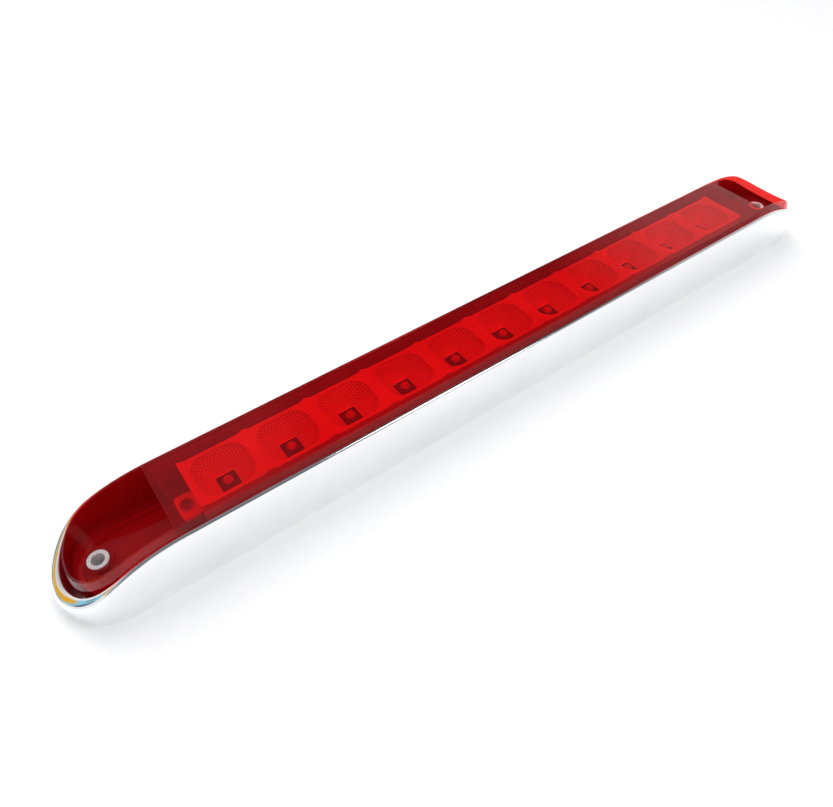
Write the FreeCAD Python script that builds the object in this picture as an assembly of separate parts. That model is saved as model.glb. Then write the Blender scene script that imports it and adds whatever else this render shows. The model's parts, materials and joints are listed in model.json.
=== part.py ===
import FreeCAD, Part
import math
import os

from FreeCAD import Vector

# A sealed red brake and tail light bar with eleven light-emitting diodes (LEDs),
# held in a chrome-plated surround.  Millimetres.  X runs along the bar, Y across
# it and Z out through the lens.  The origin is the middle of the mounting plane,
# z = 0, on which the surround stands.

# ---- overall sizes -------------------------------------------------------------
LENGTH = 454.0            # surround, end to end at its foot
WIDTH = 46.0              # surround, side to side at its foot
RIM_HEIGHT = 29.0         # top of the surround along its straight middle
TIP_HEIGHT = 9.2          # top of the surround at its two ends

# ---- how the rim falls from its full height to the tips --------------------------
END_RUN = 55.0            # length of the falling stretch
SHOULDER_REACH = 33.0     # how strongly the curve holds on to the full height
FOOT_REACH = 14.0         # how strongly it holds on to the slope at the tip
FOOT_ANGLE = 20.0         # slope at the tip, degrees

# ---- surround --------------------------------------------------------------------
WALL_LEAN = 1.4           # how far the sides lean in over the rim height
END_LEAN = 1.4            # how far the round ends lean in over the same height
RIM_THICKNESS = 2.1       # flat width of the rim along the straight sides
TIP_BAND = 5.4            # width of the rim at the tips
RIM_OUTER_ROUND = 1.3
RIM_INNER_ROUND = 0.4
SURROUND_FLOOR = 1.8      # thickness of the two end floors that carry the light
FLOOR_START = 34.0        # from the surround's end to the inner edge of an end floor
HOLLOW_WALL = 2.0         # skin left around the hollow under each tip
HOLLOW_HEIGHT = 5.0

# ---- lens ------------------------------------------------------------------------
LENS_SIDE_GAP = 0.25      # lens to surround along the sides
LENS_TIP_GAP = 2.4        # lens to surround at the tips
LENS_PROUD = 3.0          # height of the lens above the rim along the straight middle
LENS_TIP_PROUD = 4.2      # the same at the tips
LENS_LEAN = 1.5           # how far the proud band of the lens leans in
LENS_WALL = 2.2
LENS_ROOF = 2.1
POCKET_LENGTH = 43.0      # from the tip of the lens to the end of its raised block
POCKET_DRAFT = 0.5        # lean of the block's end wall over its height
EAR_TOP = 13.0            # floor of the screw pockets
EAR_THICKNESS = 2.2
BOSS_RADIUS = 6.0
BOSS_RISE = 0.5

# ---- mounting eyelets --------------------------------------------------------------
HOLE_INSET = 12.38        # tip of the lens to the hole's centre
EYELET_BORE = 2.7         # radius
EYELET_TUBE = 3.2         # outer radius
EYELET_FLANGE = 4.3       # outer radius
EYELET_FLANGE_RISE = 0.6
FLOOR_HOLE = 3.0          # radius of the holes in the surround's end floors

# ---- rear housing --------------------------------------------------------------------
PLATE_THICKNESS = 2.2
LIP_GAP = 0.2             # locating lip to the inside of the lens
LIP_THICKNESS = 1.6
LIP_RISE = 3.0
TOWER_RADIUS = 5.6
POST_RADIUS = 3.2

# ---- reflector tray -----------------------------------------------------------------
CELL_COUNT = 11
TRAY_ROOM = 9.5           # tray end to the inside of the lens block
TRAY_SIDE_ROOM = 4.4      # tray side to the inside of the lens block
TRAY_TOP_GAP = 0.4
TRAY_SKIN = 1.2
RIDGE_WIDTH = 5.8         # ridge between two neighbouring cups
RIDGE_RISE = 1.2
CUP_MARGIN = 1.6          # cup edge to tray side
CUP_DEPTH = 9.3
CUP_CORNER = 7.0
CUP_MID_SHARE = 0.80      # size of the cup half-way down, as a share of its mouth
WINDOW_SIDE = 8.4         # square hole for the LED
WINDOW_CORNER = 0.8
TAB_LENGTH = 8.0
TAB_WIDTH = 13.0
TAB_THICKNESS = 1.6

# ---- LEDs and circuit board ----------------------------------------------------------
LED_SIDE = 7.6
LED_BODY = 2.4
LED_CORNER_CUT = 1.0
LED_DOME_RADIUS = 2.3
LED_DOME_RISE = 2.2
LED_STANDOFF = 1.0        # body to board
LED_LIFT = 0.5            # top of the LED body above the bottom of its cup
LEAD_WIDTH = 0.7
LEAD_THICKNESS = 0.4
LEAD_PITCH = 5.08
BOARD_THICKNESS = 1.6
BOARD_SIDE_GAP = 0.9
BOARD_END_GAP = 0.6

# ---- small electrical parts under the board ------------------------------------------
RESISTOR_RADIUS = 1.2
RESISTOR_LENGTH = 6.4
DIODE_RADIUS = 1.35
DIODE_LENGTH = 5.2
WIRE_RADIUS = 0.35
WIRE_DROP = 0.5           # gap between a component's body and the board
WIRE_REACH = 1.6          # straight lead from the body's end to its bend
COMPONENT_OFFSET = 8.5    # from the bar's middle line
TERMINAL_RADIUS = 0.9
TERMINAL_DROP = 3.0
TERMINAL_PITCH = 5.0

# ---- fasteners and cable outlet ---------------------------------------------------------
SCREW_RADIUS = 1.4
SCREW_LENGTH = 9.0
SCREW_HEAD_RADIUS = 2.8
SCREW_HEAD_RISE = 1.8
CROSS_WIDTH = 0.7
CROSS_REACH = 1.7
CROSS_DEPTH = 1.0
SCREW_CLEARANCE = 0.2
CABLE_BORE = 2.6          # radius
GROMMET_NECK = 4.4        # radius in the housing
GROMMET_FLANGE = 6.2      # radius inside and outside the housing
GROMMET_FLANGE_RISE = 1.4

# ---- worked out from the sizes above ---------------------------------------------------
SPARE = 10.0              # overshoot of cutting tools
HALF_LENGTH = LENGTH / 2
HALF_WIDTH = WIDTH / 2
OPENING_HALF_WIDTH = HALF_WIDTH - WALL_LEAN - RIM_THICKNESS
TIP_LEAN = END_LEAN * TIP_HEIGHT / RIM_HEIGHT
OPENING_HALF_LENGTH = HALF_LENGTH - TIP_LEAN - TIP_BAND
LENS_HALF_WIDTH = OPENING_HALF_WIDTH - LENS_SIDE_GAP
LENS_HALF_LENGTH = OPENING_HALF_LENGTH - LENS_TIP_GAP
LENS_TOP = RIM_HEIGHT + LENS_PROUD
BLOCK_HALF_LENGTH = LENS_HALF_LENGTH - POCKET_LENGTH
CAVITY_HALF_LENGTH = BLOCK_HALF_LENGTH - LENS_WALL
CAVITY_HALF_WIDTH = LENS_HALF_WIDTH - LENS_WALL
CAVITY_TOP = LENS_TOP - LENS_ROOF
EAR_UNDERSIDE = EAR_TOP - EAR_THICKNESS
BOSS_TOP = EAR_TOP + BOSS_RISE
PLATE_BOTTOM = SURROUND_FLOOR
PLATE_TOP = PLATE_BOTTOM + PLATE_THICKNESS
HOLE_X = LENS_HALF_LENGTH - HOLE_INSET

TRAY_TOP = CAVITY_TOP - TRAY_TOP_GAP
TRAY_HALF_LENGTH = CAVITY_HALF_LENGTH - TRAY_ROOM
TRAY_HALF_WIDTH = CAVITY_HALF_WIDTH - TRAY_SIDE_ROOM
PITCH = 2 * TRAY_HALF_LENGTH / CELL_COUNT
DECK = TRAY_TOP - RIDGE_RISE
CUP_HALF_LENGTH = (PITCH - RIDGE_WIDTH) / 2
CUP_HALF_WIDTH = TRAY_HALF_WIDTH - CUP_MARGIN
CUP_BOTTOM = DECK - CUP_DEPTH
LED_TOP = CUP_BOTTOM + LED_LIFT
LED_BOTTOM = LED_TOP - LED_BODY
BOARD_TOP = LED_BOTTOM - LED_STANDOFF
BOARD_BOTTOM = BOARD_TOP - BOARD_THICKNESS
BOARD_HALF_LENGTH = CAVITY_HALF_LENGTH - BOARD_END_GAP
BOARD_HALF_WIDTH = CAVITY_HALF_WIDTH - BOARD_SIDE_GAP
SCREW_X = TRAY_HALF_LENGTH + TAB_LENGTH / 2


# ---- outlines and simple bodies ----------------------------------------------------------
def slot_wire(half_length, half_width, z):
    """A long outline with half-round ends, flat at height z."""
    spine = half_length - half_width
    right = Part.Arc(Vector(spine, -half_width, z), Vector(half_length, 0, z),
                     Vector(spine, half_width, z))
    back = Part.LineSegment(Vector(spine, half_width, z), Vector(-spine, half_width, z))
    left = Part.Arc(Vector(-spine, half_width, z), Vector(-half_length, 0, z),
                    Vector(-spine, -half_width, z))
    front = Part.LineSegment(Vector(-spine, -half_width, z), Vector(spine, -half_width, z))
    return Part.Wire([right.toShape(), back.toShape(), left.toShape(), front.toShape()])


def slot(half_length, half_width, low, high):
    """A straight-sided body on that outline."""
    face = Part.Face(slot_wire(half_length, half_width, low))
    return face.extrude(Vector(0, 0, high - low))


def block(x_low, x_high, y_low, y_high, z_low, z_high):
    """A rectangular body between two corners."""
    corner = Vector(x_low, y_low, z_low)
    return Part.makeBox(x_high - x_low, y_high - y_low, z_high - z_low, corner)


def post(radius, x, y, low, high):
    """A round body standing on height low."""
    return Part.makeCylinder(radius, high - low, Vector(x, y, low))


def rounded_wire(half_x, half_y, corner, x, z):
    """A rectangle with round corners, centred on (x, 0) at height z."""
    corner = min(corner, 0.9 * half_x, 0.9 * half_y)
    lean = corner * (1 - math.sqrt(0.5))
    edges = []
    for sx, sy in ((1, 1), (-1, 1), (-1, -1), (1, -1)):
        across = Vector(x + sx * half_x, sy * (half_y - corner), z)
        middle = Vector(x + sx * (half_x - lean), sy * (half_y - lean), z)
        along = Vector(x + sx * (half_x - corner), sy * half_y, z)
        ends = (across, along) if sx * sy > 0 else (along, across)
        if edges:
            edges.append(Part.LineSegment(last, ends[0]).toShape())
        else:
            first = ends[0]
        edges.append(Part.Arc(ends[0], middle, ends[1]).toShape())
        last = ends[1]
    edges.append(Part.LineSegment(last, first).toShape())
    return Part.Wire(edges)


def both_ends(make):
    """The body that make(side) gives at each end, side being -1 or 1."""
    return make(-1).fuse(make(1))


# ---- the curve of the rim in side view ----------------------------------------------------
def rim_edges(lift, tip_lift):
    """The rim from beyond one end to beyond the other, raised by these lifts, on y = 0."""
    crown = RIM_HEIGHT + lift
    tip = TIP_HEIGHT + tip_lift
    slope = math.tan(math.radians(FOOT_ANGLE))
    shoulder = HALF_LENGTH - END_RUN
    edges = []
    for side in (-1, 1):
        beyond = Vector(side * (HALF_LENGTH + SPARE), 0, tip - SPARE * slope)
        foot = Vector(side * HALF_LENGTH, 0, tip)
        foot_pull = Vector(side * (HALF_LENGTH - FOOT_REACH), 0, tip + FOOT_REACH * slope)
        crown_pull = Vector(side * (shoulder + SHOULDER_REACH), 0, crown)
        crown_end = Vector(side * shoulder, 0, crown)
        fall = Part.BezierCurve()
        fall.setPoles([foot, foot_pull, crown_pull, crown_end])
        edges.append(Part.LineSegment(beyond, foot).toShape())
        edges.append(fall.toShape())
    middle = Part.LineSegment(Vector(-shoulder, 0, crown), Vector(shoulder, 0, crown))
    return [edges[0], edges[1], middle.toShape(), edges[3], edges[2]]


def rim_surface(lift, tip_lift):
    """The curve of the rim drawn across the bar."""
    surface = Part.Wire(rim_edges(lift, tip_lift)).extrude(Vector(0, 2 * WIDTH, 0))
    surface.translate(Vector(0, -WIDTH, 0))
    return surface


def above_rim(lift, tip_lift):
    """Everything above the raised rim."""
    edges = rim_edges(lift, tip_lift)
    low_left = edges[0].Vertexes[0].Point
    low_right = edges[-1].Vertexes[0].Point
    top = RIM_HEIGHT + lift + 2 * SPARE
    corners = [low_right, Vector(low_right.x, 0, top), Vector(low_left.x, 0, top), low_left]
    for start, end in zip(corners, corners[1:]):
        edges.append(Part.LineSegment(start, end).toShape())
    outline = Part.Wire(Part.__sortEdges__(edges))
    body = Part.Face(outline).extrude(Vector(0, 2 * WIDTH, 0))
    body.translate(Vector(0, -WIDTH, 0))
    return body


def loop_on_rim(solid, lift, tip_lift, wall):
    """Edges of solid that run along the raised rim and also lie on the skin of wall."""
    surface = rim_surface(lift, tip_lift)
    skin = wall.Shells[0]
    chosen = []
    for edge in solid.Edges:
        middle = Part.Vertex(edge.valueAt((edge.FirstParameter + edge.LastParameter) / 2))
        on_rim = surface.distToShape(middle)[0] < 0.01
        if on_rim and skin.distToShape(middle)[0] < 0.01:
            chosen.append(edge)
    return chosen


# ---- surround ------------------------------------------------------------------------------
def outer_wall():
    """The leaning outside of the surround, before its rim is cut."""
    top = RIM_HEIGHT + SPARE
    side_lean = WALL_LEAN * top / RIM_HEIGHT
    end_lean = END_LEAN * top / RIM_HEIGHT
    foot = slot_wire(HALF_LENGTH, HALF_WIDTH, 0)
    head = slot_wire(HALF_LENGTH - end_lean, HALF_WIDTH - side_lean, top)
    return Part.makeLoft([foot, head], True, True)


def make_chrome_bezel():
    opening = slot(OPENING_HALF_LENGTH, OPENING_HALF_WIDTH, -SPARE, RIM_HEIGHT + 2 * SPARE)
    outside = outer_wall()
    ring = outside.cut(above_rim(0, 0)).cut(opening)
    ring = ring.makeFillet(RIM_OUTER_ROUND, loop_on_rim(ring, 0, 0, outside))
    ring = ring.makeFillet(RIM_INNER_ROUND, loop_on_rim(ring, 0, 0, opening))

    shell = slot(HALF_LENGTH - HOLLOW_WALL, HALF_WIDTH - HOLLOW_WALL, -SPARE, HOLLOW_HEIGHT)
    core = slot(OPENING_HALF_LENGTH + HOLLOW_WALL, OPENING_HALF_WIDTH + HOLLOW_WALL,
                -SPARE, HOLLOW_HEIGHT + SPARE)
    ring = ring.cut(shell.cut(core))

    floor = slot(OPENING_HALF_LENGTH + HOLLOW_WALL / 2, OPENING_HALF_WIDTH + HOLLOW_WALL / 2,
                 0, SURROUND_FLOOR)
    inner_end = HALF_LENGTH - FLOOR_START
    floor = floor.cut(block(-inner_end, inner_end, -WIDTH, WIDTH, -SPARE, SPARE))
    ring = ring.fuse(floor)
    for side in (-1, 1):
        ring = ring.cut(post(FLOOR_HOLE, side * HOLE_X, 0, -SPARE, SPARE))
    return ring.removeSplitter()


# ---- lens ------------------------------------------------------------------------------------
def pocket(side):
    """The space over one ear, open upwards, beyond the raised block."""
    foot = BLOCK_HALF_LENGTH + POCKET_DRAFT
    top = LENS_TOP + SPARE
    far = HALF_LENGTH + SPARE
    corners = [Vector(side * foot, -WIDTH, EAR_TOP), Vector(side * far, -WIDTH, EAR_TOP),
               Vector(side * far, -WIDTH, top), Vector(side * BLOCK_HALF_LENGTH, -WIDTH, top)]
    face = Part.Face(Part.makePolygon(corners + corners[:1]))
    inside = slot(LENS_HALF_LENGTH - LENS_WALL, CAVITY_HALF_WIDTH, EAR_TOP, top)
    return face.extrude(Vector(0, 2 * WIDTH, 0)).common(inside)


def make_lens():
    blank = slot(LENS_HALF_LENGTH, LENS_HALF_WIDTH, PLATE_TOP, LENS_TOP + SPARE)
    body = blank.cut(above_rim(LENS_PROUD, LENS_TIP_PROUD))
    loop = loop_on_rim(body, LENS_PROUD, LENS_TIP_PROUD, blank)
    body = body.makeChamfer(LENS_PROUD, LENS_LEAN, loop)
    body = body.cut(both_ends(pocket))

    for side in (-1, 1):
        body = body.fuse(post(BOSS_RADIUS, side * HOLE_X, 0, EAR_UNDERSIDE, BOSS_TOP))

    skirt = slot(LENS_HALF_LENGTH - LENS_WALL, CAVITY_HALF_WIDTH, PLATE_TOP - SPARE, EAR_UNDERSIDE)
    cavity = block(-CAVITY_HALF_LENGTH, CAVITY_HALF_LENGTH, -CAVITY_HALF_WIDTH, CAVITY_HALF_WIDTH,
                   PLATE_TOP - SPARE, CAVITY_TOP)
    body = body.cut(skirt).cut(cavity)
    for side in (-1, 1):
        body = body.cut(post(EYELET_TUBE, side * HOLE_X, 0, 0, LENS_TOP))
    return body.removeSplitter()


# ---- rear housing ------------------------------------------------------------------------------
def post_places():
    """Board posts stand between the LEDs, clear of the cable outlet."""
    return [turn * PITCH for turn in (-4.5, -1.5, 1.5, 4.5)]


def make_rear_housing():
    body = slot(LENS_HALF_LENGTH, LENS_HALF_WIDTH, PLATE_BOTTOM, PLATE_TOP)
    inset = LENS_WALL + LIP_GAP
    lip = slot(LENS_HALF_LENGTH - inset, LENS_HALF_WIDTH - inset, PLATE_BOTTOM, PLATE_TOP + LIP_RISE)
    inside = inset + LIP_THICKNESS
    lip = lip.cut(slot(LENS_HALF_LENGTH - inside, LENS_HALF_WIDTH - inside, 0, LENS_TOP))
    body = body.fuse(lip)
    for x in post_places():
        body = body.fuse(post(POST_RADIUS, x, 0, PLATE_BOTTOM, BOARD_BOTTOM))
    for side in (-1, 1):
        body = body.fuse(post(TOWER_RADIUS, side * HOLE_X, 0, PLATE_BOTTOM, EAR_UNDERSIDE))
        body = body.fuse(post(POST_RADIUS, side * SCREW_X, 0, PLATE_BOTTOM, BOARD_BOTTOM))
    for side in (-1, 1):
        body = body.cut(post(EYELET_TUBE, side * HOLE_X, 0, -SPARE, LENS_TOP))
        bite = TAB_THICKNESS + BOARD_TOP - SCREW_LENGTH - SCREW_CLEARANCE
        body = body.cut(post(SCREW_RADIUS, side * SCREW_X, 0, bite, LENS_TOP))
    body = body.cut(post(GROMMET_NECK, 0, 0, -SPARE, LENS_TOP))
    return body.removeSplitter()


def make_eyelet(side):
    tube = post(EYELET_TUBE, side * HOLE_X, 0, PLATE_BOTTOM, BOSS_TOP)
    flange = post(EYELET_FLANGE, side * HOLE_X, 0, BOSS_TOP, BOSS_TOP + EYELET_FLANGE_RISE)
    bore = post(EYELET_BORE, side * HOLE_X, 0, -SPARE, LENS_TOP)
    return tube.fuse(flange).cut(bore).removeSplitter()


def make_cable_grommet():
    outer = post(GROMMET_FLANGE, 0, 0, PLATE_BOTTOM - GROMMET_FLANGE_RISE, PLATE_BOTTOM)
    neck = post(GROMMET_NECK, 0, 0, PLATE_BOTTOM, PLATE_TOP)
    inner = post(GROMMET_FLANGE, 0, 0, PLATE_TOP, PLATE_TOP + GROMMET_FLANGE_RISE)
    bore = post(CABLE_BORE, 0, 0, -SPARE, LENS_TOP)
    return outer.fuse(neck).fuse(inner).cut(bore).removeSplitter()


# ---- reflector tray -------------------------------------------------------------------------------
def cell_places():
    """Middles of the reflector cells and of their LEDs."""
    return [(cell - (CELL_COUNT - 1) / 2) * PITCH for cell in range(CELL_COUNT)]


def cup(x, skin):
    """A cup from its mouth down to its window, grown by skin all round and below."""
    window = WINDOW_SIDE / 2 + skin
    mouth = rounded_wire(CUP_HALF_LENGTH + skin, CUP_HALF_WIDTH + skin, CUP_CORNER + skin, x, DECK)
    middle = rounded_wire(CUP_HALF_LENGTH * CUP_MID_SHARE + skin, CUP_HALF_WIDTH * CUP_MID_SHARE + skin,
                          CUP_CORNER * CUP_MID_SHARE + skin, x, DECK - CUP_DEPTH / 2)
    bottom = rounded_wire(window, window, WINDOW_CORNER + skin, x, CUP_BOTTOM - skin)
    return Part.makeLoft([mouth, middle, bottom], True, True)


def tray_deck():
    """The deck with a ridge between each pair of cells, as one profile drawn across the bar."""
    under = DECK - TRAY_SKIN
    profile = [Vector(-TRAY_HALF_LENGTH, -TRAY_HALF_WIDTH, under)]
    for x in cell_places():
        start = x - PITCH / 2
        profile.append(Vector(start, -TRAY_HALF_WIDTH, TRAY_TOP))
        profile.append(Vector(x - CUP_HALF_LENGTH, -TRAY_HALF_WIDTH, DECK))
        profile.append(Vector(x + CUP_HALF_LENGTH, -TRAY_HALF_WIDTH, DECK))
    profile.append(Vector(TRAY_HALF_LENGTH, -TRAY_HALF_WIDTH, TRAY_TOP))
    profile.append(Vector(TRAY_HALF_LENGTH, -TRAY_HALF_WIDTH, under))
    face = Part.Face(Part.makePolygon(profile + profile[:1]))
    return face.extrude(Vector(0, 2 * TRAY_HALF_WIDTH, 0))


def make_reflector_tray():
    inside_x = TRAY_HALF_LENGTH - TRAY_SKIN
    inside_y = TRAY_HALF_WIDTH - TRAY_SKIN
    body = block(-TRAY_HALF_LENGTH, TRAY_HALF_LENGTH, -TRAY_HALF_WIDTH, TRAY_HALF_WIDTH,
                 BOARD_TOP, DECK - TRAY_SKIN)
    body = body.cut(block(-inside_x, inside_x, -inside_y, inside_y, BOARD_TOP - SPARE, LENS_TOP))
    body = body.fuse(tray_deck())
    for side in (-1, 1):
        ends = sorted((side * inside_x, side * (TRAY_HALF_LENGTH + TAB_LENGTH)))
        tab = block(ends[0], ends[1], -TAB_WIDTH / 2, TAB_WIDTH / 2,
                    BOARD_TOP, BOARD_TOP + TAB_THICKNESS)
        body = body.fuse(tab)
        hole = post(SCREW_RADIUS + SCREW_CLEARANCE, side * SCREW_X, 0, 0, LENS_TOP)
        body = body.cut(hole)
    outside = [cup(x, TRAY_SKIN) for x in cell_places()]
    body = body.fuse(outside)
    inside = [cup(x, 0) for x in cell_places()]
    half = WINDOW_SIDE / 2
    windows = [block(x - half, x + half, -half, half, BOARD_TOP, DECK) for x in cell_places()]
    body = body.cut(inside).cut(windows)
    return body.removeSplitter()


# ---- LEDs and circuit board ---------------------------------------------------------------------------
def make_led(x):
    half = LED_SIDE / 2
    cut = LED_CORNER_CUT
    corners = [Vector(x - half, -half, LED_BOTTOM), Vector(x + half, -half, LED_BOTTOM),
               Vector(x + half, half - cut, LED_BOTTOM), Vector(x + half - cut, half, LED_BOTTOM),
               Vector(x - half, half, LED_BOTTOM)]
    body = Part.Face(Part.makePolygon(corners + corners[:1])).extrude(Vector(0, 0, LED_BODY))
    # The dome is a ball's cap: its radius follows from its rise and its foot.
    ball = (LED_DOME_RADIUS ** 2 + LED_DOME_RISE ** 2) / (2 * LED_DOME_RISE)
    dome = Part.makeSphere(ball, Vector(x, 0, LED_TOP + LED_DOME_RISE - ball))
    below = block(x - half, x + half, -half, half, LED_TOP - 2 * ball - SPARE, LED_TOP - LED_BODY / 2)
    body = body.fuse(dome.cut(below))
    for sx in (-1, 1):
        for sy in (-1, 1):
            across = x + sx * LEAD_PITCH / 2
            along = sy * LEAD_PITCH / 2
            lead = block(across - LEAD_THICKNESS / 2, across + LEAD_THICKNESS / 2,
                         along - LEAD_WIDTH / 2, along + LEAD_WIDTH / 2, BOARD_TOP, LED_BOTTOM)
            body = body.fuse(lead)
    return body.removeSplitter()


def make_circuit_board():
    body = block(-BOARD_HALF_LENGTH, BOARD_HALF_LENGTH, -BOARD_HALF_WIDTH, BOARD_HALF_WIDTH,
                 BOARD_BOTTOM, BOARD_TOP)
    for side in (-1, 1):
        body = body.cut(post(SCREW_RADIUS + SCREW_CLEARANCE, side * SCREW_X, 0, 0, LENS_TOP))
    return body


def hung_component(x, y, radius, length):
    """A round-bodied part lying under the board, with its two leads bent up to it."""
    axis_z = BOARD_BOTTOM - WIRE_DROP - radius
    along = Vector(1, 0, 0)
    body = Part.makeCylinder(radius, length, Vector(x - length / 2, y, axis_z), along)
    for side in (-1, 1):
        start = x + side * length / 2
        turn = start + side * WIRE_REACH
        low = min(start, turn)
        body = body.fuse(Part.makeCylinder(WIRE_RADIUS, WIRE_REACH, Vector(low, y, axis_z), along))
        body = body.fuse(Part.makeSphere(WIRE_RADIUS, Vector(turn, y, axis_z)))
        body = body.fuse(post(WIRE_RADIUS, turn, y, axis_z, BOARD_BOTTOM))
    return body.removeSplitter()


def make_wire_terminals():
    """Three solder pins over the cable outlet."""
    pins = []
    for place in (-1, 0, 1):
        pins.append(post(TERMINAL_RADIUS, place * TERMINAL_PITCH, COMPONENT_OFFSET,
                         BOARD_BOTTOM - TERMINAL_DROP, BOARD_BOTTOM))
    return Part.makeCompound(pins)


def make_tray_screws():
    """Two pan-head screws with cross recesses, one through each end tab."""
    seat = BOARD_TOP + TAB_THICKNESS
    top = seat + SCREW_HEAD_RISE
    screws = []
    for side in (-1, 1):
        x = side * SCREW_X
        head = post(SCREW_HEAD_RADIUS, x, 0, seat, top)
        rim = [edge for edge in head.Edges if edge.BoundBox.ZMin > top - 0.01]
        head = head.makeFillet(SCREW_HEAD_RISE / 2, rim)
        screw = head.fuse(post(SCREW_RADIUS, x, 0, seat - SCREW_LENGTH, seat))
        for reach_x, reach_y in ((CROSS_REACH, CROSS_WIDTH / 2), (CROSS_WIDTH / 2, CROSS_REACH)):
            bar = block(x - reach_x, x + reach_x, -reach_y, reach_y, top - CROSS_DEPTH, top + SPARE)
            screw = screw.cut(bar)
        screws.append(screw.removeSplitter())
    return Part.makeCompound(screws)


# ---- every piece by name ----------------------------------------------------------------------------------
def make_pieces():
    pieces = {
        "chrome_bezel": make_chrome_bezel(),
        "lens": make_lens(),
        "rear_housing": make_rear_housing(),
        "reflector_tray": make_reflector_tray(),
        "circuit_board": make_circuit_board(),
        "wire_terminals": make_wire_terminals(),
        "tray_screws": make_tray_screws(),
        "cable_grommet": make_cable_grommet(),
        "eyelet_left": make_eyelet(-1),
        "eyelet_right": make_eyelet(1),
    }
    for number, x in enumerate(cell_places(), 1):
        pieces["led_%02d" % number] = make_led(x)
    for number, turn in enumerate((-3.0, -2.0, 2.0, 3.0), 1):
        pieces["ballast_resistor_%d" % number] = hung_component(
            turn * PITCH, -COMPONENT_OFFSET, RESISTOR_RADIUS, RESISTOR_LENGTH)
    for number, turn in enumerate((-1.0, 1.0), 1):
        pieces["blocking_diode_%d" % number] = hung_component(
            turn * PITCH, -COMPONENT_OFFSET, DIODE_RADIUS, DIODE_LENGTH)
    return pieces


os.makedirs("parts", exist_ok=True)
for name, shape in make_pieces().items():
    shape.exportStep("parts/%s.step" % name)
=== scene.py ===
import json
import math

import bmesh
import bpy
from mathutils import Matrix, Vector


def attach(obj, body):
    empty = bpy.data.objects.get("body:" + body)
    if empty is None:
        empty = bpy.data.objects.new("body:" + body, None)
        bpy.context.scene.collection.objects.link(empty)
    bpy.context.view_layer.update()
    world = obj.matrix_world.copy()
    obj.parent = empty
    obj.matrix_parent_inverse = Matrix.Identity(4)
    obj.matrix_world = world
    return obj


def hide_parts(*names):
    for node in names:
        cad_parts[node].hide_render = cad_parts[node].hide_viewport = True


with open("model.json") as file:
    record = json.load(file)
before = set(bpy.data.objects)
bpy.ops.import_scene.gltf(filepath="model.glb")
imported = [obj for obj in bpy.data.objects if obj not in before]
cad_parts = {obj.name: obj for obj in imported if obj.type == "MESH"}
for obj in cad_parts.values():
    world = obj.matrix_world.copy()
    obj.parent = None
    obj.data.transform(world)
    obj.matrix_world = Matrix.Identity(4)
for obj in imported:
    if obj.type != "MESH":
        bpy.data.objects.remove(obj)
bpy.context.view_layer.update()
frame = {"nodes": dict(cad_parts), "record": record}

# A sealed red light bar in a chrome-plated surround, lying on a white cloth.
# Metres, in the CAD row's frame: X along the bar, Y across it, Z out of the lens.

MM = 0.001

# ---- sizes that the visual pieces share with the CAD, in millimetres ----------------------------
HALF_LENGTH, HALF_WIDTH = 227.0, 23.0
RIM_HEIGHT, TIP_HEIGHT = 29.0, 9.2
END_RUN, SHOULDER_REACH, FOOT_REACH = 55.0, 33.0, 14.0      # the falling stretch of the rim
FOOT_ANGLE = 20.0                                           # its slope at the tip, degrees
WALL_LEAN, RIM_THICKNESS, TIP_BAND = 1.4, 2.1, 5.4
SURROUND_FLOOR, FLOOR_START, FLOOR_HOLE = 1.8, 34.0, 3.0
LENS_SIDE_GAP, LENS_TIP_GAP, LENS_WALL = 0.25, 2.4, 2.2
POCKET_LENGTH, HOLE_INSET = 43.0, 12.38
LENS_PROUD, LENS_ROOF = 3.0, 2.1
TRAY_ROOM, TRAY_SIDE_ROOM, TRAY_TOP_GAP = 9.5, 4.4, 0.4
RIDGE_WIDTH, RIDGE_RISE, CUP_MARGIN, CUP_DEPTH = 5.8, 1.2, 1.6, 9.3
LED_LIFT, LED_BODY, LED_STANDOFF = 0.5, 2.4, 1.0

OPENING_HALF_WIDTH = HALF_WIDTH - WALL_LEAN - RIM_THICKNESS
OPENING_HALF_LENGTH = HALF_LENGTH - WALL_LEAN * TIP_HEIGHT / RIM_HEIGHT - TIP_BAND
LENS_HALF_LENGTH = OPENING_HALF_LENGTH - LENS_TIP_GAP
HOLE_X = LENS_HALF_LENGTH - HOLE_INSET
TRAY_HALF_LENGTH = LENS_HALF_LENGTH - POCKET_LENGTH - LENS_WALL - TRAY_ROOM
TRAY_HALF_WIDTH = OPENING_HALF_WIDTH - LENS_SIDE_GAP - LENS_WALL - TRAY_SIDE_ROOM
TRAY_TOP = RIM_HEIGHT + LENS_PROUD - LENS_ROOF - TRAY_TOP_GAP
DECK = TRAY_TOP - RIDGE_RISE
CUP_BOTTOM = DECK - CUP_DEPTH
LED_BODY_TOP = CUP_BOTTOM + LED_LIFT        # the dome stands on it
BOARD_TOP = LED_BODY_TOP - LED_BODY - LED_STANDOFF          # the tray stands on the board
SEAM = 0.02               # a hair's gap or overlap, so that faces never coincide


# ---- mesh help ------------------------------------------------------------------------------
def add_mesh(name, points, faces, slot, node):
    """A piece from points in millimetres, riding on the frame and shown in place of node."""
    mesh = bpy.data.meshes.new(name)
    mesh.from_pydata([Vector(p) * MM for p in points], [], faces)
    mesh.validate()
    piece = bpy.data.objects.new(name, mesh)
    bpy.context.scene.collection.objects.link(piece)
    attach(piece, "root")
    mesh.materials.append(MATERIALS[slot])
    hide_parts(node)
    return piece


def smooth_by_angle(piece, degrees):
    """Soft shading, except across edges sharper than degrees."""
    mesh = piece.data
    mesh.shade_smooth()
    mesh.set_sharp_from_angle(angle=math.radians(degrees))


# ---- the curve of the rim in side view --------------------------------------------------------
HALVINGS = 30


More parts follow.
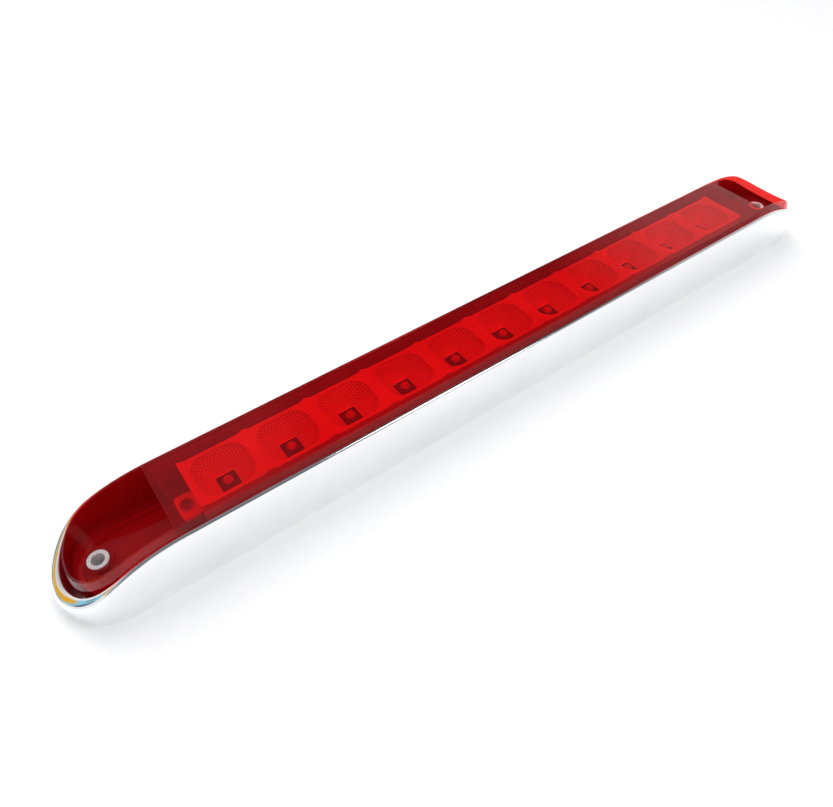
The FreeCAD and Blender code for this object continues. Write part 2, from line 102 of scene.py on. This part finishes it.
def rim(x):
    """Height of the rim at a distance along the bar."""
    x = min(abs(x), HALF_LENGTH)
    shoulder = HALF_LENGTH - END_RUN
    if x <= shoulder:
        return RIM_HEIGHT
    slope = math.tan(math.radians(FOOT_ANGLE))
    along = (HALF_LENGTH, HALF_LENGTH - FOOT_REACH, shoulder + SHOULDER_REACH, shoulder)
    up = (TIP_HEIGHT, TIP_HEIGHT + FOOT_REACH * slope, RIM_HEIGHT, RIM_HEIGHT)
    low, high = 0.0, 1.0
    for _ in range(HALVINGS):
        t = (low + high) / 2
        if bernstein(along, t) > x:
            low = t
        else:
            high = t
    return bernstein(up, t)


def bernstein(values, t):
    """A cubic Bezier curve's value at t."""
    s = 1 - t
    return (s ** 3 * values[0] + 3 * s * s * t * values[1]
            + 3 * s * t * t * values[2] + t ** 3 * values[3])


# ---- chrome surround ---------------------------------------------------------------------------
END_STEPS = 72            # steps round one end
SLOPE_STEPS = 30          # along one falling stretch
MIDDLE_STEPS = 8          # between the falling stretches
FALLING_SHARE = 0.16      # falling stretch as a share of half the straight side
LEAN_ROUNDS = 6           # the lean depends on the height, and the height on the lean
EDGE_ROUND, EDGE_STEPS = 0.4, 3
SHOULDER_SHARE, SHOULDER_STEPS = 0.62, 8    # round of the rim, as a share of the band
WALL_STEPS = 6
GROOVE_WALLS, GROOVE_HEIGHT = 4.0, 5.0      # both skins beside the hollow, and its height
GROOVE_RUN_IN = 0.8       # extra width over which the hollow reaches its height
LEAST_GROOVE, LEAST_HEIGHT = 0.4, 0.01
FLOOR_OVERLAP = 0.3       # end floor into the wall round it
FAR_STEPS, NEAR_STEPS = 12, 60              # round the end floor, away from its tip and near it
WELD = 2e-6               # metres
INWARD = -0.5             # how squarely a face must face inwards to count as inside


def slot_stations():
    """(place along the straight side from -1 to 1, direction) round a slot, one turn."""
    turn = []
    for end in (1, -1):
        for step in range(END_STEPS + 1):
            angle = math.pi * (step / END_STEPS - 0.5) + (0 if end > 0 else math.pi)
            turn.append((end, angle))
        side = end * math.pi / 2
        fall = [1 - FALLING_SHARE * (step + 1) / SLOPE_STEPS for step in range(SLOPE_STEPS)]
        middle = [fall[-1] * (1 - 2 * (step + 1) / MIDDLE_STEPS)
                  for step in range(MIDDLE_STEPS - 1)]
        for share in fall + middle + [-share for share in reversed(fall)]:
            turn.append((end * share, side))
    return turn


def slot_point(station, half_length, half_width):
    """The point of a slot of this size at a station."""
    share, angle = station
    spine = half_length - half_width
    return share * spine + half_width * math.cos(angle), half_width * math.sin(angle)


def rounded_corner(before, corner, after, radius, steps):
    """Points of a round between two straight runs that meet at corner."""
    first, second = (before - corner).normalized(), (after - corner).normalized()
    half = first.angle(second) / 2
    reach = radius / math.tan(half)
    weight = math.sin(half)
    start, end = corner + first * reach, corner + second * reach
    points = []
    for step in range(steps + 1):
        t = step / steps
        a, b, c = (1 - t) ** 2, 2 * t * (1 - t) * weight, t * t
        points.append((start * a + corner * b + end * c) / (a + b + c))
    return points


def surround_section(station):
    """The closed outline of the surround across one station."""
    inner_x, inner_y = slot_point(station, OPENING_HALF_LENGTH, OPENING_HALF_WIDTH)
    height = rim(inner_x)
    for _ in range(LEAN_ROUNDS):
        lean = WALL_LEAN * height / RIM_HEIGHT
        outer_x, outer_y = slot_point(station, HALF_LENGTH - lean, HALF_WIDTH - lean)
        height = rim(outer_x)
    foot_x, foot_y = slot_point(station, HALF_LENGTH, HALF_WIDTH)
    inner_foot = Vector((inner_x, inner_y, 0))
    inner_top = Vector((inner_x, inner_y, rim(inner_x)))
    outer_top = Vector((outer_x, outer_y, height))
    foot = Vector((foot_x, foot_y, 0))
    shoulder_round = SHOULDER_SHARE * (outer_top - inner_top).length
    edge = rounded_corner(inner_foot, inner_top, outer_top, EDGE_ROUND, EDGE_STEPS)
    shoulder = rounded_corner(inner_top, outer_top, foot, shoulder_round, SHOULDER_STEPS)
    heel = rounded_corner(outer_top, foot, inner_foot, EDGE_ROUND, EDGE_STEPS)
    wall = [shoulder[-1].lerp(heel[0], t / WALL_STEPS) for t in range(1, WALL_STEPS)]
    return edge + shoulder + wall + heel + groove(foot, inner_foot) + [inner_foot]


def groove(foot, inner_foot):
    """The hollow under the surround, which is next to nothing along the thin sides."""
    width = (inner_foot - foot).length
    inward = (inner_foot - foot).normalized()
    spare = width - GROOVE_WALLS
    gap = max(LEAST_GROOVE, spare)
    height = GROOVE_HEIGHT * min(1.0, max(0.0, spare) / GROOVE_RUN_IN) + LEAST_HEIGHT
    start = foot + inward * (width - gap) / 2
    end = start + inward * gap
    up = Vector((0, 0, height))
    return [start, start + up, end + up, end]


def end_floor(side):
    """The plate under one end, with the screw's clearance hole."""
    inner_end = HALF_LENGTH - FLOOR_START
    spine = OPENING_HALF_LENGTH - OPENING_HALF_WIDTH
    reach = OPENING_HALF_WIDTH + FLOOR_OVERLAP
    corner = math.atan2(reach, inner_end - HOLE_X)
    turns = [corner + (2 * math.pi - 2 * corner) * step / FAR_STEPS
             for step in range(FAR_STEPS + 1)]
    turns += [-corner + 2 * corner * step / NEAR_STEPS for step in range(1, NEAR_STEPS)]
    points = []
    for turn in turns:
        along, across = math.cos(turn), math.sin(turn)
        limits = []
        if along < 0:
            limits.append((inner_end - HOLE_X) / along)
        if abs(across) > 1e-6:
            limits.append(reach / abs(across))
        offset = HOLE_X - spine
        half = offset * along
        round_reach = -half + math.sqrt(half * half - offset * offset + reach * reach)
        if HOLE_X + round_reach * along > spine:
            limits.append(round_reach)
        span = min(limits)
        out_x, out_y = (HOLE_X + span * along) * side, span * across
        hole_x, hole_y = (HOLE_X + FLOOR_HOLE * along) * side, FLOOR_HOLE * across
        points += [(out_x, out_y, SEAM), (out_x, out_y, SURROUND_FLOOR),
                   (hole_x, hole_y, SURROUND_FLOOR), (hole_x, hole_y, SEAM)]
    faces = tube_faces(len(turns), 4)
    if side < 0:
        faces = [face[::-1] for face in faces]
    return points, faces


def tube_faces(stations, around):
    """Faces of a closed ring of sections that each have the same number of points."""
    faces = []
    for station in range(stations):
        following = (station + 1) % stations
        for k in range(around):
            other = (k + 1) % around
            faces.append((station * around + k, station * around + other,
                          following * around + other, following * around + k))
    return faces


def join(parts):
    """Several lists of points and faces as one."""
    points, faces = [], []
    for more_points, more_faces in parts:
        start = len(points)
        points += list(more_points)
        faces += [tuple(start + k for k in face) for face in more_faces]
    return points, faces


def outward(piece):
    """Points that coincide welded, and faces turned to point out of the piece."""
    work = bmesh.new()
    work.from_mesh(piece.data)
    bmesh.ops.remove_doubles(work, verts=work.verts, dist=WELD)
    bmesh.ops.recalc_face_normals(work, faces=work.faces)
    work.to_mesh(piece.data)
    work.free()


def dull_inside(piece):
    """The surround's inward-facing walls take the housing's dull plastic."""
    piece.data.materials.append(MATERIALS["housing_plastic"])
    straight = (HALF_LENGTH - HALF_WIDTH) * MM
    for face in piece.data.polygons:
        middle = face.center
        away = Vector((middle.x - max(-straight, min(straight, middle.x)), middle.y))
        if Vector(face.normal[:2]).dot(away) < INWARD * away.length:
            face.material_index = 1


def make_surround():
    sections = [surround_section(station) for station in slot_stations()]
    ring = [point for section in sections for point in section]
    body = (ring, tube_faces(len(sections), len(sections[0])))
    points, faces = join([body, end_floor(1), end_floor(-1)])
    piece = add_mesh("chrome_surround", points, faces, "chrome_plating", "chrome_bezel")
    outward(piece)
    dull_inside(piece)
    smooth_by_angle(piece, 40)


# ---- reflector tray ------------------------------------------------------------------------------
CELLS = 11
PITCH = 2 * TRAY_HALF_LENGTH / CELLS
TRAY_SKIN = 1.2
CUP_CORNER = 7.0
CUP_HALF_LENGTH = (PITCH - RIDGE_WIDTH) / 2
CUP_HALF_WIDTH = TRAY_HALF_WIDTH - CUP_MARGIN
CUP_MID_SHARE = 0.80      # size of the cup half-way down, as a share of its mouth
WINDOW_HALF, WINDOW_CORNER = 4.2, 0.8
BEADS_ROUND, BEADS_DOWN = 44, 9
BEAD_STEPS_ROUND, BEAD_STEPS_DOWN = 4, 3
BEAD_RISE = 0.42          # of the largest beads, at the mouth
LEAST_BEAD = 0.35         # the smallest bead, as a share of the largest
PLAIN_LIP = 0.05          # share of the cup's depth above the first beads
STATIONS = BEADS_ROUND * BEAD_STEPS_ROUND
PER_SIDE = STATIONS // 4
UNDER_LEVELS = (1.0, 0.75, 0.5, 0.25, 0.0)
TAB_THICKNESS, TAB_HALF_WIDTH, TAB_LENGTH, TAB_HOLE = 1.6, 6.5, 8.0, 1.5
TAB_OVERLAP, TAB_ROUND, TAB_STEPS = 0.6, 0.3, 48
TAB_SQUARENESS = 6        # power of the tab's rounded outline


def rounded_loop(half_x, half_y, corner):
    """STATIONS points round a rectangle with round corners, a quarter of them to each side."""
    loop = []
    for side in range(4):
        half_run = (half_y if side % 2 == 0 else half_x) - corner
        depth = half_x if side % 2 == 0 else half_y
        arc = corner * math.pi / 4
        total = 2 * arc + 2 * half_run
        turn = side * math.pi / 2
        for step in range(PER_SIDE):
            walk = total * step / PER_SIDE
            if walk < arc:
                angle = walk / corner - math.pi / 4
                across = -half_run + corner * math.sin(angle)
                out = depth - corner + corner * math.cos(angle)
            elif walk <= total - arc:
                across = -half_run + (walk - arc)
                out = depth
            else:
                angle = (walk - (total - arc)) / corner
                across = half_run + corner * math.sin(angle)
                out = depth - corner + corner * math.cos(angle)
            loop.append((out * math.cos(turn) - across * math.sin(turn),
                         out * math.sin(turn) + across * math.cos(turn)))
    return loop


def cup_share(down, window_half, half):
    """How wide the cup is, as a share of its mouth, at a share of its depth."""
    window = window_half / half
    curve = 2 * (window + 1 - 2 * CUP_MID_SHARE)
    return 1 + (window - 1 - curve) * down + curve * down * down


def cup_loop(down, skin=0.0):
    """One level loop of the cup's wall."""
    half_x = CUP_HALF_LENGTH * cup_share(down, WINDOW_HALF, CUP_HALF_LENGTH) + skin
    half_y = CUP_HALF_WIDTH * cup_share(down, WINDOW_HALF, CUP_HALF_WIDTH) + skin
    corner = CUP_CORNER * cup_share(down, WINDOW_CORNER, CUP_CORNER) + skin
    height = DECK - (DECK - CUP_BOTTOM) * down - skin
    return [Vector((x, y, height)) for x, y in rounded_loop(half_x, half_y, corner)]


def beaded_cup():
    """The cup's loops from mouth to window, with a raised bead in each small field."""
    rings = BEADS_DOWN * BEAD_STEPS_DOWN
    loops = [cup_loop(PLAIN_LIP + (1 - PLAIN_LIP) * ring / rings) for ring in range(rings + 1)]
    raised = [[point.copy() for point in loop] for loop in loops]
    for ring in range(1, rings):
        down = math.sin(math.pi * (ring % BEAD_STEPS_DOWN) / BEAD_STEPS_DOWN)
        size = LEAST_BEAD + (1 - LEAST_BEAD) * (1 - ring / rings)
        row_shift = (ring // BEAD_STEPS_DOWN % 2) * BEAD_STEPS_ROUND // 2
        for k in range(STATIONS):
            place = (k + row_shift) % BEAD_STEPS_ROUND
            round_share = math.sin(math.pi * place / BEAD_STEPS_ROUND)
            following, before = (k + 1) % STATIONS, (k - 1) % STATIONS
            along = loops[ring][following] - loops[ring][before]
            descent = loops[ring + 1][k] - loops[ring - 1][k]
            normal = descent.cross(along).normalized()
            raised[ring][k] += normal * (BEAD_RISE * size * down * round_share)
    return [cup_loop(0.0)] + raised


def cell_border(height, ridge):
    """The rectangle round a cell, its ends lifted by ridge."""
    border = []
    half_length, half_width = PITCH / 2, TRAY_HALF_WIDTH
    for side in range(4):
        for step in range(PER_SIDE):
            walk = 2 * step / PER_SIDE - 1
            x, y = ((half_length, walk * half_width), (-walk * half_length, half_width),
                    (-half_length, -walk * half_width), (walk * half_length, -half_width))[side]
            slope = max(0.0, abs(x) - CUP_HALF_LENGTH) / (half_length - CUP_HALF_LENGTH)
            border.append(Vector((x, y, height + ridge * slope)))
    return border


def strip(first, second):
    """Faces between two loops given by the numbers of their first points."""
    faces = []
    for k in range(STATIONS):
        following = (k + 1) % STATIONS
        faces.append((first + k, first + following, second + following, second + k))
    return faces


def cell_loops():
    """The loops of one cell: ridges, deck, beaded cup and underside."""
    top_border = cell_border(DECK, TRAY_TOP - DECK)
    ridge_foot = [Vector((max(-CUP_HALF_LENGTH, min(CUP_HALF_LENGTH, p.x)), p.y, DECK))
                  for p in top_border]
    under = [cup_loop(down, TRAY_SKIN) for down in UNDER_LEVELS]
    low_border = cell_border(DECK - TRAY_SKIN, 0.0)
    return [top_border, ridge_foot] + beaded_cup() + under + [low_border]


def cell(number, loops):
    """One cell in its place, closed at the outside edge and open to its neighbours."""
    middle = Vector(((number - (CELLS - 1) / 2) * PITCH, 0, 0))
    points = [p + middle for loop in loops for p in loop]
    last = (len(loops) - 1) * STATIONS
    faces = []
    for first in range(0, last, STATIONS):
        faces += strip(first, first + STATIONS)
    for k in range(STATIONS):
        side = k // PER_SIDE
        has_neighbour = (side == 0 and number < CELLS - 1) or (side == 2 and number > 0)
        if not has_neighbour:
            following = (k + 1) % STATIONS
            faces.append((last + k, last + following, following, k))
    return points, faces


def skirt():
    """The four walls under the deck."""
    top = DECK - TRAY_SKIN + SEAM
    points = []
    for x, y in ((TRAY_HALF_LENGTH, TRAY_HALF_WIDTH), (-TRAY_HALF_LENGTH, TRAY_HALF_WIDTH),
                 (-TRAY_HALF_LENGTH, -TRAY_HALF_WIDTH), (TRAY_HALF_LENGTH, -TRAY_HALF_WIDTH)):
        inner_x = x - math.copysign(TRAY_SKIN, x)
        inner_y = y - math.copysign(TRAY_SKIN, y)
        points += [(x, y, top), (x, y, BOARD_TOP),
                   (inner_x, inner_y, BOARD_TOP), (inner_x, inner_y, top)]
    return points, tube_faces(4, 4)


def tab(side):
    """The drilled ear that a tray screw holds down."""
    start, end = TRAY_HALF_LENGTH - TAB_OVERLAP, TRAY_HALF_LENGTH + TAB_LENGTH
    half, centre = (end - start) / 2, (end + start) / 2
    hole_centre = TRAY_HALF_LENGTH + TAB_LENGTH / 2
    top = BOARD_TOP + TAB_THICKNESS
    points = []
    for step in range(TAB_STEPS):
        angle = 2 * math.pi * step / TAB_STEPS
        along, across = math.cos(angle), math.sin(angle)
        span = (abs(along) ** TAB_SQUARENESS + abs(across) ** TAB_SQUARENESS) ** (-1 / TAB_SQUARENESS)
        x, y = side * (centre + half * along * span), TAB_HALF_WIDTH * across * span
        hole_x, hole_y = side * (hole_centre + TAB_HOLE * along), TAB_HOLE * across
        points += [(x, y, BOARD_TOP), (x, y, top - TAB_ROUND),
                   (x - side * TAB_ROUND * along, y - TAB_ROUND * across, top),
                   (hole_x, hole_y, top), (hole_x, hole_y, BOARD_TOP)]
    return points, tube_faces(TAB_STEPS, 5)


def make_tray():
    loops = cell_loops()
    cells = [cell(number, loops) for number in range(CELLS)]
    points, faces = join(cells + [skirt(), tab(-1), tab(1)])
    piece = add_mesh("reflector_cups", points, faces, "bright_metallised", "reflector_tray")
    outward(piece)
    smooth_by_angle(piece, 50)


# ---- materials --------------------------------------------------------------------------------
COLOUR_A, COLOUR_B, COLOUR_RESULT = 6, 7, 2  # the Mix node's sockets for colours


class Nodes:
    """A short way to write a material's node tree."""

    def __init__(self, name):
        self.material = bpy.data.materials.new(name)
        self.material.use_nodes = True
        self.tree = self.material.node_tree
        self.shader = self.tree.nodes["Principled BSDF"]
        self.output = self.tree.nodes["Material Output"]
        self.place = self.add("ShaderNodeTexCoord").outputs["Object"]

    def add(self, kind, **values):
        node = self.tree.nodes.new(kind)
        for key, value in values.items():
            setattr(node, key, value)
        return node

    def link(self, source, target):
        self.tree.links.new(source, target)

    def set(self, **values):
        for key, value in values.items():
            self.shader.inputs[key.replace("_", " ")].default_value = value

    def stretched(self, scale):
        mapping = self.add("ShaderNodeMapping")
        mapping.inputs["Scale"].default_value = scale
        self.link(self.place, mapping.inputs["Vector"])
        return mapping.outputs["Vector"]

    def noise(self, scale, detail, stretch=(1, 1, 1)):
        noise = self.add("ShaderNodeTexNoise")
        noise.inputs["Scale"].default_value = scale
        noise.inputs["Detail"].default_value = detail
        self.link(self.stretched(stretch), noise.inputs["Vector"])
        return noise.outputs["Fac"]

    def ramp(self, source, low, high, low_out, high_out):
        """source between low and high becomes a number between the two outputs."""
        node = self.add("ShaderNodeMapRange")
        self.link(source, node.inputs["Value"])
        for key, value in zip(("From Min", "From Max", "To Min", "To Max"),
                              (low, high, low_out, high_out)):
            node.inputs[key].default_value = value
        return node.outputs["Result"]

    def blend(self, factor, first, second):
        """Two colours, or colour outputs, mixed by a factor."""
        node = self.add("ShaderNodeMix", data_type="RGBA")
        self.link(factor, node.inputs["Factor"])
        for socket, value in zip(node.inputs[COLOUR_A:COLOUR_B + 1], (first, second)):
            if isinstance(value, tuple):
                socket.default_value = (*value, 1)
            else:
                self.link(value, socket)
        return node.outputs[COLOUR_RESULT]

    def colour(self, output):
        self.link(output, self.shader.inputs["Base Color"])

    def roughness(self, output):
        self.link(output, self.shader.inputs["Roughness"])

    def bump(self, height, distance, strength=0.5):
        node = self.add("ShaderNodeBump")
        node.inputs["Strength"].default_value = strength
        node.inputs["Distance"].default_value = distance
        self.link(height, node.inputs["Height"])
        self.link(node.outputs["Normal"], self.shader.inputs["Normal"])


LENS_BODY_SHARE, LENS_GLOSS_IOR = 0.11, 1.45
DOME_FROM, DOME_TO = (LED_BODY_TOP + 0.05) * MM, (LED_BODY_TOP + 0.7) * MM


def chrome():
    m = Nodes("chrome_plating")
    m.set(Metallic=1.0)
    haze = m.ramp(m.noise(45, 4), 0.3, 0.7, 0, 1)
    m.colour(m.blend(haze, (0.90, 0.91, 0.92), (0.95, 0.96, 0.97)))
    m.roughness(m.ramp(m.noise(160, 5, (0.3, 1, 1)), 0.35, 0.75, 0.04, 0.13))
    m.bump(m.noise(70, 2), 0.00006)
    return m.material


def red_lens():
    """Clear red acrylic: tinted panes with a little body colour, glossy on the outer side."""
    m = Nodes("red_lens")
    m.set(Roughness=0.4, IOR=1.49)
    cloud = m.ramp(m.noise(30, 3), 0.3, 0.7, 0, 1)
    m.colour(m.blend(cloud, (0.55, 0.004, 0.012), (0.70, 0.012, 0.024)))
    clear = m.add("ShaderNodeBsdfTransparent")
    m.link(m.blend(cloud, (0.99, 0.19, 0.18), (1.0, 0.24, 0.22)), clear.inputs["Color"])
    body = m.add("ShaderNodeMixShader")
    body.inputs["Fac"].default_value = LENS_BODY_SHARE
    m.link(clear.outputs["BSDF"], body.inputs[1])
    m.link(m.shader.outputs["BSDF"], body.inputs[2])
    gloss = m.add("ShaderNodeBsdfGlossy")
    m.link(m.ramp(m.noise(90, 4), 0.45, 0.80, 0.02, 0.06), gloss.inputs["Roughness"])
    fresnel = m.add("ShaderNodeFresnel")
    fresnel.inputs["IOR"].default_value = LENS_GLOSS_IOR
    outside = m.ramp(m.add("ShaderNodeNewGeometry").outputs["Backfacing"], 0, 1, 1, 0)
    share = m.add("ShaderNodeMath", operation="MULTIPLY")
    m.link(fresnel.outputs["Fac"], share.inputs[0])
    m.link(outside, share.inputs[1])
    surface = m.add("ShaderNodeMixShader")
    m.link(share.outputs["Value"], surface.inputs["Fac"])
    m.link(body.outputs["Shader"], surface.inputs[1])
    m.link(gloss.outputs["BSDF"], surface.inputs[2])
    m.link(surface.outputs["Shader"], m.output.inputs["Surface"])
    return m.material


def housing_plastic():
    m = Nodes("housing_plastic")
    m.set(IOR=1.5)
    m.colour(m.blend(m.noise(80, 4), (0.16, 0.004, 0.010), (0.30, 0.010, 0.020)))
    m.roughness(m.ramp(m.noise(400, 3), 0.3, 0.7, 0.22, 0.42))
    m.bump(m.noise(1800, 2), 0.00003)
    return m.material


def bright_metallised():
    """Pale metallised plastic, with painted shade in the hollows between the beads."""
    m = Nodes("bright_metallised")
    m.set(Metallic=0.34)
    crest = m.add("ShaderNodeNewGeometry").outputs["Pointiness"]
    # Painted shade: where the mesh is hollow, between the beads, the colour darkens to near black
    # red.
    painted_hollow_shade = m.ramp(crest, 0.435, 0.498, 0, 1)
    own_colour = m.blend(m.noise(60, 3), (0.94, 0.92, 0.90), (0.99, 0.98, 0.97))
    m.colour(m.blend(painted_hollow_shade, (0.10, 0.05, 0.05), own_colour))
    m.roughness(m.ramp(m.noise(240, 4), 0.3, 0.7, 0.29, 0.36))
    m.bump(m.noise(120, 2), 0.00004)
    return m.material


def board():
    m = Nodes("board")
    weave = m.noise(700, 2, (1, 0.2, 1))
    m.colour(m.blend(weave, (0.040, 0.032, 0.034), (0.075, 0.060, 0.060)))
    m.roughness(m.ramp(m.noise(500, 3), 0.3, 0.7, 0.3, 0.5))
    m.bump(m.noise(1500, 2), 0.00003, 0.4)
    return m.material


def led_epoxy():
    """A dark body with a red dome above it."""
    m = Nodes("led_epoxy")
    m.set(IOR=1.5)
    height = m.add("ShaderNodeSeparateXYZ")
    m.link(m.place, height.inputs["Vector"])
    body = m.blend(m.noise(900, 3), (0.010, 0.003, 0.003), (0.09, 0.015, 0.012))
    dome = m.blend(m.noise(600, 3), (0.35, 0.03, 0.02), (0.75, 0.12, 0.08))
    is_dome = m.ramp(height.outputs["Z"], DOME_FROM, DOME_TO, 0, 1)
    m.colour(m.blend(is_dome, body, dome))
    m.roughness(m.ramp(m.noise(900, 2), 0.3, 0.7, 0.08, 0.22))
    m.bump(m.noise(700, 2), 0.00004)
    return m.material


def plain(name, first, second, low, high, scale, metallic=0.0):
    """A finish of two near colours with an uneven gloss."""
    m = Nodes(name)
    m.set(Metallic=metallic)
    m.colour(m.blend(m.noise(scale, 4), first, second))
    m.roughness(m.ramp(m.noise(scale * 2, 4), 0.3, 0.7, low, high))
    m.bump(m.noise(scale * 4, 2), 0.00003)
    return m.material


MATERIALS = {
    "chrome_plating": chrome(),
    "red_lens": red_lens(),
    "housing_plastic": housing_plastic(),
    "bright_metallised": bright_metallised(),
    "board": board(),
    "led_epoxy": led_epoxy(),
    "resistor_body": plain("resistor_body", (0.40, 0.28, 0.15), (0.52, 0.38, 0.22), 0.3, 0.5, 600),
    "diode_body": plain("diode_body", (0.015, 0.015, 0.016), (0.05, 0.05, 0.05), 0.3, 0.5, 600),
    "tinned_pin": plain("tinned_pin", (0.55, 0.53, 0.50), (0.75, 0.73, 0.70), 0.2, 0.4, 500,
                        metallic=1.0),
    "screw_steel": plain("screw_steel", (0.42, 0.42, 0.44), (0.62, 0.62, 0.63), 0.2, 0.45, 500,
                         metallic=1.0),
    "rubber": plain("rubber", (0.012, 0.012, 0.012), (0.035, 0.034, 0.033), 0.6, 0.85, 500),
    "eyelet_metal": plain("eyelet_metal", (0.80, 0.79, 0.78), (0.94, 0.93, 0.92), 0.15, 0.30, 300,
                          metallic=0.60),
}

LENS_EDGE_ROUND = 0.3     # millimetres
FLAT_WITHIN = 0.4         # degrees between facets that are one face
EDGE_OVER = 30.0          # degrees between faces that meet in an edge
FACE_WEIGHT = 100         # how far large faces lead the shading of their edges


def soften_lens_edges():
    """Small rounds on the lens's moulded edges, which catch the light."""
    lens = frame["nodes"]["lens"]
    flat = lens.modifiers.new("flat_faces", "DECIMATE")
    flat.decimate_type = "DISSOLVE"
    flat.angle_limit = math.radians(FLAT_WITHIN)
    bevel = lens.modifiers.new("edge_round", "BEVEL")
    bevel.width = LENS_EDGE_ROUND * MM
    bevel.segments = 2
    bevel.limit_method = "ANGLE"
    bevel.angle_limit = math.radians(EDGE_OVER)
    lens.modifiers.new("plane_normals", "WEIGHTED_NORMAL").weight = FACE_WEIGHT


def dress_nodes():
    """Every CAD node takes the material of its slot in the record."""
    for part in frame["record"]["subparts"]:
        piece = frame["nodes"][part["node"]]
        piece.data.materials.clear()
        piece.data.materials.append(MATERIALS[part["material_slot"]])


# ---- floor, light and camera -----------------------------------------------------------------
FLOOR_HALF = 3.0          # metres
WORLD_STRENGTH = 0.86
LOW_SKY, HIGH_SKY = (0.34, (1.0, 1.0, 1.0)), (0.70, (0.24, 0.24, 0.26))  # rise, colour
AREA_OUTER, AREA_INNER = 1.3, 0.7           # soft edge of an area, as shares of its width
# Direction, width in degrees and colour of soft areas in the surroundings. They stand where the
# chrome mirrors them at the camera's angle, and from other angles they show in the background.
WORLD_AREAS = (
    ((-0.775, 0.60, 0.21), 6, (0.30, 0.68, 0.85)),
    ((-0.745, 0.585, 0.315), 5.2, (0.90, 0.45, 0.03)),
    ((-0.765, 0.645, 0.12), 2.5, (0.05, 0.05, 0.06)),
    ((-0.83, 0.54, 0.15), 2.5, (0.10, 0.13, 0.20)),
    ((-0.84, 0.12, 0.50), 9, (0.12, 0.13, 0.15)),
    ((-0.78, -0.30, 0.50), 14, (0.25, 0.40, 0.62)),
    ((-0.50, -0.75, 0.40), 12, (0.10, 0.11, 0.13)),
    ((0.25, -0.75, 0.60), 17, (0.08, 0.08, 0.09)),
    ((-0.20, -0.45, 0.88), 14, (0.12, 0.13, 0.15)),
    ((0.45, 0.50, 0.74), 17, (0.02, 0.02, 0.02)),
)


def make_floor():
    mesh = bpy.data.meshes.new("floor")
    corners = [(x * FLOOR_HALF, y * FLOOR_HALF, 0) for x, y in ((-1, -1), (1, -1), (1, 1), (-1, 1))]
    mesh.from_pydata(corners, [], [(0, 1, 2, 3)])
    floor = bpy.data.objects.new("floor", mesh)
    bpy.context.scene.collection.objects.link(floor)
    m = Nodes("floor_cloth")
    m.set(Roughness=0.9)
    m.shader.inputs["Specular IOR Level"].default_value = 0.1
    m.colour(m.blend(m.noise(300, 3), (0.90, 0.89, 0.89), (0.94, 0.94, 0.94)))
    m.bump(m.noise(500, 3), 0.0002, 0.3)
    mesh.materials.append(m.material)


def make_world():
    """Bright near the horizon and dimmer overhead, with the coloured and dark soft areas."""
    world = bpy.data.worlds.new("studio")
    bpy.context.scene.world = world
    world.use_nodes = True
    tree = world.node_tree
    background = tree.nodes["Background"]
    place = tree.nodes.new("ShaderNodeTexCoord").outputs["Generated"]
    split = tree.nodes.new("ShaderNodeSeparateXYZ")
    ramp = tree.nodes.new("ShaderNodeValToRGB")
    tree.links.new(place, split.inputs["Vector"])
    tree.links.new(split.outputs["Z"], ramp.inputs["Fac"])
    for stop, (rise, shade) in zip(ramp.color_ramp.elements, (LOW_SKY, HIGH_SKY)):
        stop.position = rise
        stop.color = (*shade, 1)
    colour = ramp.outputs["Color"]
    for direction, width, tint in WORLD_AREAS:
        dot = tree.nodes.new("ShaderNodeVectorMath")
        dot.operation = "DOT_PRODUCT"
        dot.inputs[1].default_value = Vector(direction).normalized()
        tree.links.new(place, dot.inputs[0])
        edge = tree.nodes.new("ShaderNodeMapRange")
        edge.interpolation_type = "SMOOTHSTEP"
        edge.inputs["From Min"].default_value = math.cos(math.radians(width * AREA_OUTER))
        edge.inputs["From Max"].default_value = math.cos(math.radians(width * AREA_INNER))
        tree.links.new(dot.outputs["Value"], edge.inputs["Value"])
        mix = tree.nodes.new("ShaderNodeMix")
        mix.data_type = "RGBA"
        tree.links.new(edge.outputs["Result"], mix.inputs["Factor"])
        tree.links.new(colour, mix.inputs[COLOUR_A])
        mix.inputs[COLOUR_B].default_value = (*tint, 1)
        colour = mix.outputs[COLOUR_RESULT]
    tree.links.new(colour, background.inputs["Color"])
    background.inputs["Strength"].default_value = WORLD_STRENGTH


def make_light(name, place, aim, size, watts, glints=False):
    data = bpy.data.lights.new(name, "AREA")
    data.size = size
    data.energy = watts
    light = bpy.data.objects.new(name, data)
    light.location = place
    light.rotation_euler = (Vector(aim) - Vector(place)).to_track_quat("-Z", "Y").to_euler()
    bpy.context.scene.collection.objects.link(light)
    light.visible_glossy = glints
    light.visible_transmission = False


SENSOR, FOCAL_LENGTH, CAMERA_SHIFT = 36.0, 26.29, 0.0558
CAMERA_PLACE = (-0.16565, -0.16191, 0.22875)
CAMERA_TURN = (36.753, 0.701, -35.549)      # degrees about X, Y and Z


def make_camera():
    data = bpy.data.cameras.new("camera")
    data.sensor_width = SENSOR
    data.lens = FOCAL_LENGTH
    data.shift_y = CAMERA_SHIFT
    camera = bpy.data.objects.new("camera", data)
    camera.location = CAMERA_PLACE
    camera.rotation_euler = [math.radians(angle) for angle in CAMERA_TURN]
    bpy.context.scene.collection.objects.link(camera)
    bpy.context.scene.camera = camera


make_surround()
make_tray()
dress_nodes()
soften_lens_edges()
make_floor()
make_world()
make_light("key", (0.1, 0.85, 1.3), (0, 0, 0), 1.3, 14)
make_light("glints", (0.5, -0.5, 1.2), (0, 0, 0), 0.5, 4, glints=True)
make_light("fill", (-0.5, -0.8, 1.2), (-0.1, 0, 0), 1.4, 12)
make_camera()
bpy.context.scene.view_settings.view_transform = "Standard"
